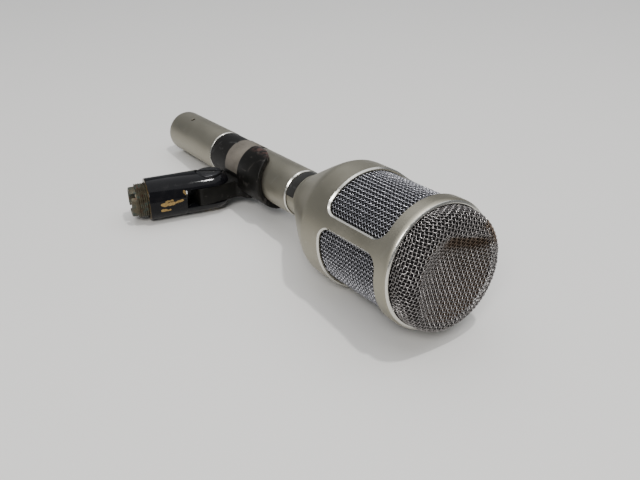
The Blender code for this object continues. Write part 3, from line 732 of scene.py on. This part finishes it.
def window_cutter(middle_deg):
    """A block through the shell that widens outwards, so that it leaves a chamfer round the window."""
    verts, faces = [], []
    centre = (WINDOW_FROM + WINDOW_TO) / 2
    levels = ((20.0, 0.0), (HEAD_R - CHAMFER, 0.0), (HEAD_R + 0.6, CHAMFER + 0.6))
    count = len(window_columns(0.0))
    for radius, grow in levels:
        columns = window_columns(grow)
        for sign in (-1, 1):
            for x, h in columns:
                angle = math.radians(middle_deg) + x / HEAD_R
                verts.append((radius * math.cos(angle), radius * math.sin(angle), centre + sign * h))
    for a in (0, 2 * (len(levels) - 1) * count):
        faces += [(a + k, a + k + 1, a + count + k + 1, a + count + k) for k in range(count - 1)]
    loop = list(range(count)) + list(range(2 * count - 1, count - 1, -1))
    for level in range(len(levels) - 1):
        a, b = 2 * level * count, 2 * (level + 1) * count
        for k in range(len(loop)):
            p, q = loop[k], loop[(k + 1) % len(loop)]
            faces.append((a + p, a + q, b + q, b + p))
    return solid("window", verts, faces)


for index in range(WINDOW_COUNT):
    combine(cage, window_cutter(FIRST_RIB_DEG + (index + 0.5) * 360.0 / WINDOW_COUNT))
for face in cage.data.polygons:
    r, z = face.center.xy.length / MM, face.center.z / MM
    radial = abs(face.normal.xy.dot(face.center.xy.normalized()))
    chamfer = HEAD_R - CHAMFER < r < HEAD_R - 0.02 and radial < 0.9
    chamfer = chamfer and WINDOW_FROM - 2 < z < WINDOW_TO + 2
    lip = z > LIP_FROM + 0.75 * LIP_HIGH
    face.material_index = int(chamfer or lip)
on_microphone(cage, [NICKEL, EDGE], "head_cage")

# ---- microphone: woven wire ----
WIRE_R = 0.215
SIDES = 6
STEPS = 4


def tubes(name, paths):
    """One mesh of round wires along paths, each (points, surface normals), in millimetres."""
    verts, faces, start = [], [], 0
    side_turns = np.arange(SIDES) * math.tau / SIDES
    across, outwards = np.cos(side_turns)[None, :, None], np.sin(side_turns)[None, :, None]
    k = np.arange(SIDES)
    for points, normals in paths:
        ahead = np.gradient(points, axis=0)
        ahead /= np.linalg.norm(ahead, axis=1)[:, None]
        side = np.cross(ahead, normals)
        side /= np.linalg.norm(side, axis=1)[:, None]
        up = np.cross(side, ahead)
        rings = points[:, None] + WIRE_R * (across * side[:, None] + outwards * up[:, None])
        verts.append(rings.reshape(-1, 3))
        first = start + np.arange(len(points) - 1)[:, None] * SIDES
        a, b = first + k, first + (k + 1) % SIDES
        faces += np.stack([a, b, b + SIDES, a + SIDES], axis=-1).reshape(-1, 4).tolist()
        last = start + (len(points) - 1) * SIDES
        faces += [tuple(reversed(range(start, start + SIDES))), tuple(range(last, last + SIDES))]
        start += len(points) * SIDES
    return solid(name, np.concatenate(verts), faces, merged=False)


SLEEVE_R = 22.70
WIRE_COUNT = 82
SLEEVE_FROM, SLEEVE_TO = 158.6, 198.9
CROSSING = math.tau * SLEEVE_R / WIRE_COUNT / 2
for sign, name in ((1, "mesh_rising"), (-1, "mesh_falling")):
    paths = []
    for i in range(WIRE_COUNT):
        t = np.arange(0.0, (SLEEVE_TO - SLEEVE_FROM) / CROSSING, 1.0 / STEPS)
        turn = sign * (math.tau * i / WIRE_COUNT + t * CROSSING / SLEEVE_R)
        radius = SLEEVE_R + sign * WIRE_R * np.cos(np.pi * t)
        out = np.stack([np.cos(turn), np.sin(turn), np.zeros_like(turn)], axis=1)
        points = radius[:, None] * out
        points[:, 2] = SLEEVE_FROM + t * CROSSING
        paths.append((points, out))
    on_microphone(tubes(name, paths), WIRE, "mesh_sleeve", smooth_deg=75)

# ---- microphone: dented front mesh ----
# this dome is lower than the CAD's, and its shape is what is left of the real one outside the dent
CAP_MID_R = 22.7 - 2 * WIRE_R
CAP_MID_RISE = 9.6 - 2 * WIRE_R
CAP_BOW = 5.0
CREASE_DEG = (-180, -120, -90, -72, -58, -45, -30, -15, -2, 8, 30, 60, 90, 108, 122, 136, 155, 180)
CREASE_R = (20.7, 20.7, 20.4, 19.2, 17.6, 16.0, 14.6, 14.2, 14.9)
CREASE_R += (15.9, 16.3, 16.2, 16.3, 16.8, 18.2, 19.8, 20.6, 20.7)
DENT_FLOOR = 208.4
WIRE_FOOT, NET_FOOT, RIM_FOOT = 201.45, 201.0, 199.0


def dome_height(r):
    """Height of the undented front mesh, a superellipse turned about the axis."""
    inside = np.maximum(1.0 - (np.minimum(r, CAP_MID_R) / CAP_MID_R) ** CAP_BOW, 0.0)
    return RING_FRONT + CAP_MID_RISE * inside ** (1 / CAP_BOW)


def dented_height(x, y):
    """Height of the front mesh at a point: the drawn dome, pushed in inside the crease."""
    r = np.hypot(x, y)
    phi = np.degrees(np.arctan2(y, x))
    crease = np.interp(phi, CREASE_DEG, CREASE_R)
    rim = dome_height(crease)
    steep = np.interp(phi, (-75, -45, 15, 45, 120), (2.0, 3.4, 3.4, 2.6, 2.0))
    bowl = DENT_FLOOR + (rim - DENT_FLOOR) * (r / crease) ** steep
    soft = np.interp(crease, (16.5, 20.0), (0.35, 1.6))
    high = dome_height(r)
    h = np.clip(0.5 + 0.5 * (bowl - high) / soft, 0.0, 1.0)
    return bowl * (1 - h) + high * h - soft * h * (1 - h)


# arc lengths, radii and heights down the undented dome and its straight rim
angle = (1.0 - np.cos(np.linspace(0.0, math.pi, 400))) * math.pi / 4
R_LIST = np.append(CAP_MID_R * np.sin(angle) ** (2 / CAP_BOW), CAP_MID_R)
Z_LIST = np.append(RING_FRONT + CAP_MID_RISE * np.abs(np.cos(angle)) ** (2 / CAP_BOW), RIM_FOOT)
S_LIST = np.concatenate([[0.0], np.cumsum(np.hypot(np.diff(R_LIST), np.diff(Z_LIST)))])


def on_dome(s, phi):
    """The point at arc length s from the crown, in direction phi."""
    r = np.interp(s, S_LIST, R_LIST)
    return np.array([r * math.cos(phi), r * math.sin(phi), np.interp(s, S_LIST, Z_LIST)])


def next_knot(a, b, start):
    """The point on the dome at one pitch from both a and b, found by Newton steps from (s, phi)."""

    def miss(s, phi):
        return np.array([np.linalg.norm(on_dome(s, phi) - c) - PITCH for c in (a, b)])

    s, phi = start
    ds, dphi = 1e-3, 1e-4
    for _ in range(12):
        now = miss(s, phi)
        if abs(now).max() < 1e-5:
            break
        slope = [(miss(s + ds, phi) - now) / ds, (miss(s, phi + dphi) - now) / dphi]
        step = np.linalg.lstsq(np.stack(slope, axis=1), -now, rcond=None)[0]
        step = np.clip(step, (-0.7, -0.06), (0.7, 0.06))
        s, phi = s + step[0], phi + step[1]
    return s, phi


# the net is worked out for a quarter of the dome, from two wires that cross at the crown
KNOTS = 26
PITCH = 1.30
NET_TURN = math.radians(65.0)
S_END = float(np.interp(-NET_FOOT, -Z_LIST, S_LIST))
net = np.full((KNOTS + 1, KNOTS + 1, 2), np.nan)
for i in range(KNOTS + 1):
    net[i, 0] = (i * PITCH, 0.0)
    net[0, i] = (i * PITCH, math.pi / 2)
net[0, 0] = (0.0, 0.0)
for i in range(1, KNOTS + 1):
    for j in range(1, KNOTS + 1):
        # a missing neighbour is NaN, which isn't below the limit either
        if not np.minimum(net[i - 1, j, 0], net[i, j - 1, 0]) <= S_END:
            continue
        a, b = on_dome(*net[i - 1, j]), on_dome(*net[i, j - 1])
        guess = a + b - on_dome(*net[i - 1, j - 1])
        phi = math.atan2(guess[1], guess[0])
        s = max(net[i - 1, j, 0], net[i, j - 1, 0]) + 0.5 * PITCH
        net[i, j] = next_knot(a, b, (s, phi))


def knot(i, j):
    """Where wires i and j cross on the dented mesh, or None past its rim."""
    s, phi = net[abs(i), abs(j)]
    if np.isnan(s) or s > S_END + 1.6 * PITCH:
        return None
    p = on_dome(s, phi)
    x0, y0 = p[0] * (-1 if i < 0 else 1), p[1] * (-1 if j < 0 else 1)
    x = x0 * math.cos(NET_TURN) - y0 * math.sin(NET_TURN)
    y = x0 * math.sin(NET_TURN) + y0 * math.cos(NET_TURN)
    r = math.hypot(x, y)
    pushed = min(0.0, float(dented_height(x, y)) - float(dome_height(r)))
    return np.array([x, y, p[2] + (0.0 if r > CAP_MID_R - 0.3 else pushed)])


knots = {(i, j): knot(i, j) for i in range(-KNOTS, KNOTS + 1) for j in range(-KNOTS, KNOTS + 1)}
knots = {k: p for k, p in knots.items() if p is not None}


def knot_normal(i, j):
    """The mesh's outward direction at a crossing."""
    p = knots[i, j]
    a = knots.get((i + 1, j), p) - knots.get((i - 1, j), p)
    b = knots.get((i, j + 1), p) - knots.get((i, j - 1), p)
    n = np.cross(a, b)
    length = np.linalg.norm(n)
    if length < 1e-6 or p[2] < RING_FRONT:
        return np.array([p[0], p[1], 0.0]) / max(math.hypot(p[0], p[1]), 1e-6)
    return n / length


normals = {k: knot_normal(*k) for k in knots}
paths = []
for across in (False, True):
    for line in range(-KNOTS, KNOTS + 1):
        keys = [(line, k) if across else (k, line) for k in range(-KNOTS, KNOTS + 1)]
        keys = [k for k in keys if k in knots]
        if len(keys) < 3:
            continue
        p = np.array([knots[k] for k in keys])
        n = np.array([normals[k] for k in keys])
        p = np.concatenate([[2 * p[0] - p[1]], p, [2 * p[-1] - p[-2]]])
        n = np.concatenate([[n[0]], n, [n[-1]]])
        points, outs = [], []
        for k in range(1, len(p) - 2):
            for t in np.arange(STEPS) / STEPS:
                out = n[k] * (1 - t) + n[k + 1] * t
                out /= np.linalg.norm(out)
                order = keys[k - 1][int(across)]
                wave = math.cos(math.pi * (order + t + line)) * (-1 if across else 1)
                points.append(catmull(p[k - 1], p[k], p[k + 1], p[k + 2], t) + out * WIRE_R * wave)
                outs.append(out)
        points, outs = np.array(points), np.array(outs)
        kept = points[:, 2] > WIRE_FOOT
        first, last = np.argmax(kept), len(kept) - np.argmax(kept[::-1])
        if last - first > 2:
            paths.append((points[first:last], outs[first:last]))
on_microphone(tubes("front_mesh_dented", paths), CAP_WIRE, "front_mesh", smooth_deg=75)

# the foam behind the front mesh lies against it inside the dent only
FOAM_R, FOAM_FOOT, FOAM_GAP, PALE_MARGIN = 20.8, 201.6, 1.15, 1.6
turns = np.linspace(0.0, math.tau, 97)[:-1]
count = len(turns)
verts = [(0.0, 0.0, float(dented_height(0.0, 0.0)) - FOAM_GAP)]
radii = [*np.linspace(0.6, 19.4, 30), 20.0, 20.6, FOAM_R]
for r in radii:
    x, y = r * np.cos(turns), r * np.sin(turns)
    crease = np.interp(np.degrees(np.arctan2(y, x)), CREASE_DEG, CREASE_R)
    fall = FOAM_GAP + 5.0 * np.clip((r - crease + 1.3) / 2.5, 0.0, 1.0) ** 1.3
    z = np.maximum(dented_height(x, y) - fall, 202.4)
    verts += [tuple(p) for p in np.stack([x, y, z], axis=1)]
verts += [(FOAM_R * math.cos(t), FOAM_R * math.sin(t), FOAM_FOOT) for t in turns]
verts.append((0.0, 0.0, FOAM_FOOT))
faces = [(0, 1 + k, 1 + (k + 1) % count) for k in range(count)]
for level in range(len(radii)):
    a, b = 1 + level * count, 1 + (level + 1) * count
    faces += [(a + k, b + k, b + (k + 1) % count, a + (k + 1) % count) for k in range(count)]
last = 1 + len(radii) * count
faces += [(last + k, len(verts) - 1, last + (k + 1) % count) for k in range(count)]
front_foam = solid("front_foam_dented", verts, faces)
# inside the dent the foam takes the painted brown light; near the crease and outside it stays dark
for face in front_foam.data.polygons:
    x, y = face.center.x / MM, face.center.y / MM
    crease = np.interp(math.degrees(math.atan2(y, x)), CREASE_DEG, CREASE_R)
    face.material_index = int(math.hypot(x, y) > crease - PALE_MARGIN)
on_microphone(front_foam, [FACE_FOAM_PAINTED_LIGHT, DARK_FOAM], "foam_front", smooth_deg=60)

holder = [(20.3, 199.0), (22.95, 199.0, 0.3), (22.95, 201.0, 0.3), (20.3, 201.0)]
on_microphone(lathe("mesh_holder", softened(holder), 160), RUBBER, "retaining_ring")

# ---- clip: clamp, saddle and tongue ----
# the clamp's front edge and its outside radius by the angle round the tube
edge_deg = (CLAMP_LOW_DEG, 2.0, 6.0, 11.0, 17.0, 25.0, 45.0, 70.0, 100.0)
edge_deg += (190.0, 214.0, 224.0, CLAMP_HIGH_DEG)
edge_z = (84.0, 88.2, 91.4, 94.3, 96.4, 97.8, 99.2, 100.3, CLAMP_TO, CLAMP_TO, 98.8, 95.0, 90.0)
outer_deg = (CLAMP_LOW_DEG, 8.0, 16.0, 214.0, CLAMP_HIGH_DEG)
outer_r = (11.9, 12.6, CLAMP_OUT_R, CLAMP_OUT_R, 12.2)
columns = []
for a in (
    *np.linspace(CLAMP_LOW_DEG, 30.0, 42)[:-1],
    *np.linspace(30.0, 205.0, 90)[:-1],
    *np.linspace(205.0, CLAMP_HIGH_DEG, 28),
):
    high, outer = float(np.interp(a, edge_deg, edge_z)), float(np.interp(a, outer_deg, outer_r))
    columns.append((a, CLAMP_FROM, high, CLAMP_BORE_R, outer))
clamp = curved_plate("clip_jaw", columns, 0.9)
columns = []
for a in np.linspace(SADDLE_LOW_DEG, SADDLE_HIGH_DEG, 13):
    columns.append((a, SADDLE_FROM, CLAMP_FROM + 3.0, CLAMP_BORE_R, CLAMP_OUT_R - 0.02))
combine(clamp, curved_plate("saddle", columns, 0.6), "UNION")

# the tongue runs from the pivot past the tube's axis, and is bored out for the tube
TONGUE_REACH = (ARM.inverted() @ MIC.translation).y / MM + 7.0
outline = arc((TONGUE_END - 1.6, TONGUE_HALF_WIDTH - 1.6), 1.6, 0, 90, 9)
step = [(-9.5, TONGUE_HALF_WIDTH), (-11.5, 9.4, 1.0), (-12.6, 13.5, 1.0), (TONGUE_REACH, 14.0)]
outline += softened(step, False, 4)
outline += [(TONGUE_REACH, -TONGUE_HALF_WIDTH)]
outline += arc((TONGUE_END - 1.6, -TONGUE_HALF_WIDTH + 1.6), 1.6, -90, 0, 9)
tongue = prism("tongue", outline, -TONGUE_HALF, TONGUE_HALF)
combine(tongue, about_pivot(rod("bush_hole", 4.05, -12.0, 12.0, 64)))
turned_by(tongue, MIC.inverted() @ ARM)
combine(tongue, rod("tube_bore", 11.6, 40.0, 118.0, 160))
round_edges(tongue, 0.35, 3)
combine(clamp, tongue, "UNION")
finished(clamp, MIC, "clamp", CLAMP, "clip_clamp", smooth_deg=38)

profile = [(2.55, -4.0), (3.9, -4.0, 0.2), (3.9, 4.0, 0.2), (2.55, 4.0)]
bush = about_pivot(lathe("bush", softened(profile), 64))
finished(bush, ARM, "clamp", BRASS, "pivot_bush")

# ---- clip: base, screw, nut and thread adapter ----
def base_section(z, k, radius):
    """The base's outline at height z, k of the way along the rounded end that starts at the pivot."""
    made = []
    for turn in np.linspace(0.0, math.tau, 144, endpoint=False):
        y = math.sqrt(1.0 - k * k) * math.sin(turn)
        x = max((1.0 - y * y) ** (END_POWER / 2) - k**END_POWER, 0.0) ** (1 / END_POWER)
        made.append((radius * math.copysign(x, math.cos(turn)), radius * y, z))
    return made


loops = []
for t in np.linspace(math.pi / 2, 0.0, 6):
    loops.append(base_section(TAIL + 0.6 - 0.6 * math.sin(t), 0.0, BASE_R - 0.6 + 0.6 * math.cos(t)))
for lift in np.linspace(0.0, 88.5, 40):
    k = math.sin(math.radians(lift)) ** (2 / END_POWER)
    loops.append(base_section(END_REACH * k, k, BASE_R))
base = loft("clip_base", loops)
combine(base, rod("socket", SOCKET_R, TAIL - 2.0, SOCKET_TOP, 144))
combine(base, block("slot", 13.0, SLOT_FLOOR, 14.0, -SLOT_HALF, SLOT_HALF))
screw_hole, head_recess, nut_pocket = (2.6, -14.0, 14.0, 48), (6.5, 5.9, 14.0, 96), (4.95, -14.0, -6.1, 6)
for sizes in (screw_hole, head_recess, nut_pocket):
    combine(base, about_pivot(rod("drilled", *sizes)))
round_edges(base, 0.4, 3)
finished(base, BASE, "base", BASE_BLACK, "swivel_base", smooth_deg=38)

hole_r = 2.4 / math.cos(math.radians(30.0)) + 0.2
nut = about_pivot(lathe("nut", softened([(hole_r, -8.5), (4.6, -8.5), (4.6, -6.3), (hole_r, -6.3)]), 6))
round_edges(nut, 0.2, 2)
finished(nut, BASE, "base", BRASS, "swivel_nut")
profile = [(2.7, 6.0, 0.1), (5.4, 6.0, 0.15), (5.4, 6.5, 0.15), (2.7, 6.5, 0.1)]
washer = about_pivot(lathe("washer", softened(profile), 64))
finished(washer, BASE, "base", STEEL, "spring_washer")

profile = [(0.0, SCREW_HEAD_TOP), (4.2, SCREW_HEAD_TOP - 0.04), (5.3, SCREW_HEAD_TOP - 0.17, 0.3)]
profile += [(5.95, SCREW_HEAD_TOP - 0.5, 0.3), (SCREW_HEAD_R, SCREW_HEAD_TOP - 0.95, 0.2)]
profile += [(SCREW_HEAD_R, 6.7, 0.15), (2.4, 6.7), (2.4, -8.1, 0.2), (2.1, -8.4, 0.1), (0.0, -8.4)]
pivot_screw = about_pivot(lathe("pivot_screw_head", softened(profile, False), 96, False))
driver = block("driver_slot", 0.65, -9.0, 9.0, SCREW_HEAD_TOP - 1.3, 12.0)
combine(pivot_screw, turned_by(driver, Matrix.Rotation(math.radians(-SCREW_SLOT_DEG), 4, "X")))
round_edges(pivot_screw, 0.12, 2, 50.0)
finished(pivot_screw, BASE, "pivot_screw", SCREW, "swivel_screw")

thread = []
at = ADAPTER_SHOULDER + 0.25
while at < TAIL - 0.2:
    thread += [(ADAPTER_R - 0.06, at - 0.10), (ADAPTER_R, at), (ADAPTER_R - 0.06, at + 0.10)]
    thread += [(ADAPTER_R - 0.45, at + THREAD_PITCH / 2)]
    at += THREAD_PITCH
profile = [(ADAPTER_R - 0.3, ADAPTER_INNER), (ADAPTER_R, ADAPTER_INNER - 0.3), (ADAPTER_R, at)]
profile += list(reversed(thread)) + [(ADAPTER_R - 0.35, ADAPTER_SHOULDER, 0.15)]
profile += [(ADAPTER_NOSE_R, ADAPTER_SHOULDER), (ADAPTER_NOSE_R, ADAPTER_TIP, 0.5)]
profile += [(ADAPTER_BORE_R + 0.4, ADAPTER_TIP, 0.2), (ADAPTER_BORE_R, ADAPTER_TIP + 0.4, 0.2)]
profile += [(ADAPTER_BORE_R, ADAPTER_INNER)]
adapter = lathe("stand_thread", softened(profile), 128)
coin = block("coin_slot", 9.0, -40.0, ADAPTER_TIP + 2.2, -1.1, 1.1)
combine(adapter, turned_by(coin, Matrix.Rotation(math.radians(ADAPTER_SLOT_DEG - 90.0), 4, "Z")))
finished(adapter, BASE, "stand_adapter", ADAPTER, "thread_adapter", smooth_deg=50)

# ---- the inner nodes keep their CAD shape ----
KEPT = {
    "output_transformer": STEEL,
    "circuit_board": board_look(),
    "coupling_capacitor": FILM,
    "foam_sleeve": DARK_FOAM,
    "capsule_carrier": STEEL,
    "capsule_post": STEEL,
    "capsule_mount": RUBBER,
    "capsule_body": NICKEL,
    "capsule_ring": BRASS,
    "diaphragm": GOLD,
}
for name, look in KEPT.items():
    for holder in nodes[name].material_slots:
        holder.material = look

# ---- floor, light and camera ----
floor_mesh = bpy.data.meshes.new("floor")
corners = [(-3.0, -3.0, 0.0), (3.0, -3.0, 0.0), (3.0, 3.0, 0.0), (-3.0, 3.0, 0.0)]
floor_mesh.from_pydata(corners, [], [(0, 1, 2, 3)])
floor = added("floor", floor_mesh)
floor_look = Look("floor_pale", 0.0, 0.7)
floor_look.paint(Base_Color=floor_look.mix(floor_look.noise(3.0), (0.70, 0.69, 0.67), (0.73, 0.72, 0.70)))
floor_mesh.materials.append(floor_look.mat)
floor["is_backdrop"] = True

world = bpy.data.worlds.new("studio")
bpy.context.scene.world = world
world.use_nodes = True
background = world.node_tree.nodes["Background"].inputs
background["Color"].default_value = (0.93, 0.96, 1.0, 1.0)
background["Strength"].default_value = 0.29


def soft_light(name, at, size, power, colour):
    """An area light that points at the object."""
    light = bpy.data.lights.new(name, "AREA")
    light.shape, light.size, light.size_y = "RECTANGLE", *size
    light.energy, light.color = power, colour
    obj = added(name, light)
    obj.location = at
    obj.rotation_mode = "QUATERNION"
    obj.rotation_quaternion = (Vector((0.02, 0.0, 0.02)) - Vector(at)).to_track_quat("-Z", "Y")


soft_light("key", (0.62, -0.62, 0.80), (0.45, 0.35), 9.0, (1.0, 0.985, 0.96))
soft_light("ceiling", (-0.10, 0.25, 1.30), (2.2, 1.8), 16.0, (0.97, 0.98, 1.0))
soft_light("lamp", (0.28, 0.132, 1.06), (0.05, 0.05), 5.0, (1.0, 0.99, 0.97))

camera_data = bpy.data.cameras.new("camera")
camera_data.sensor_width, camera_data.lens = 36.0, 40.5
camera_data.clip_start, camera_data.clip_end = 0.01, 20.0
camera = added("camera", camera_data)
RIGHT = Vector((0.5653, 0.8249, 0.0))
DOWN = Vector((0.4229, -0.2899, -0.8585))
FORWARD = Vector((-0.7082, 0.4854, -0.5128))
CAMERA_AT = Matrix.Translation((0.24439, -0.13366, 0.16344))
camera.matrix_world = CAMERA_AT @ Matrix((RIGHT, -DOWN, -FORWARD)).transposed().to_4x4()
bpy.context.scene.camera = camera

low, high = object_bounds()
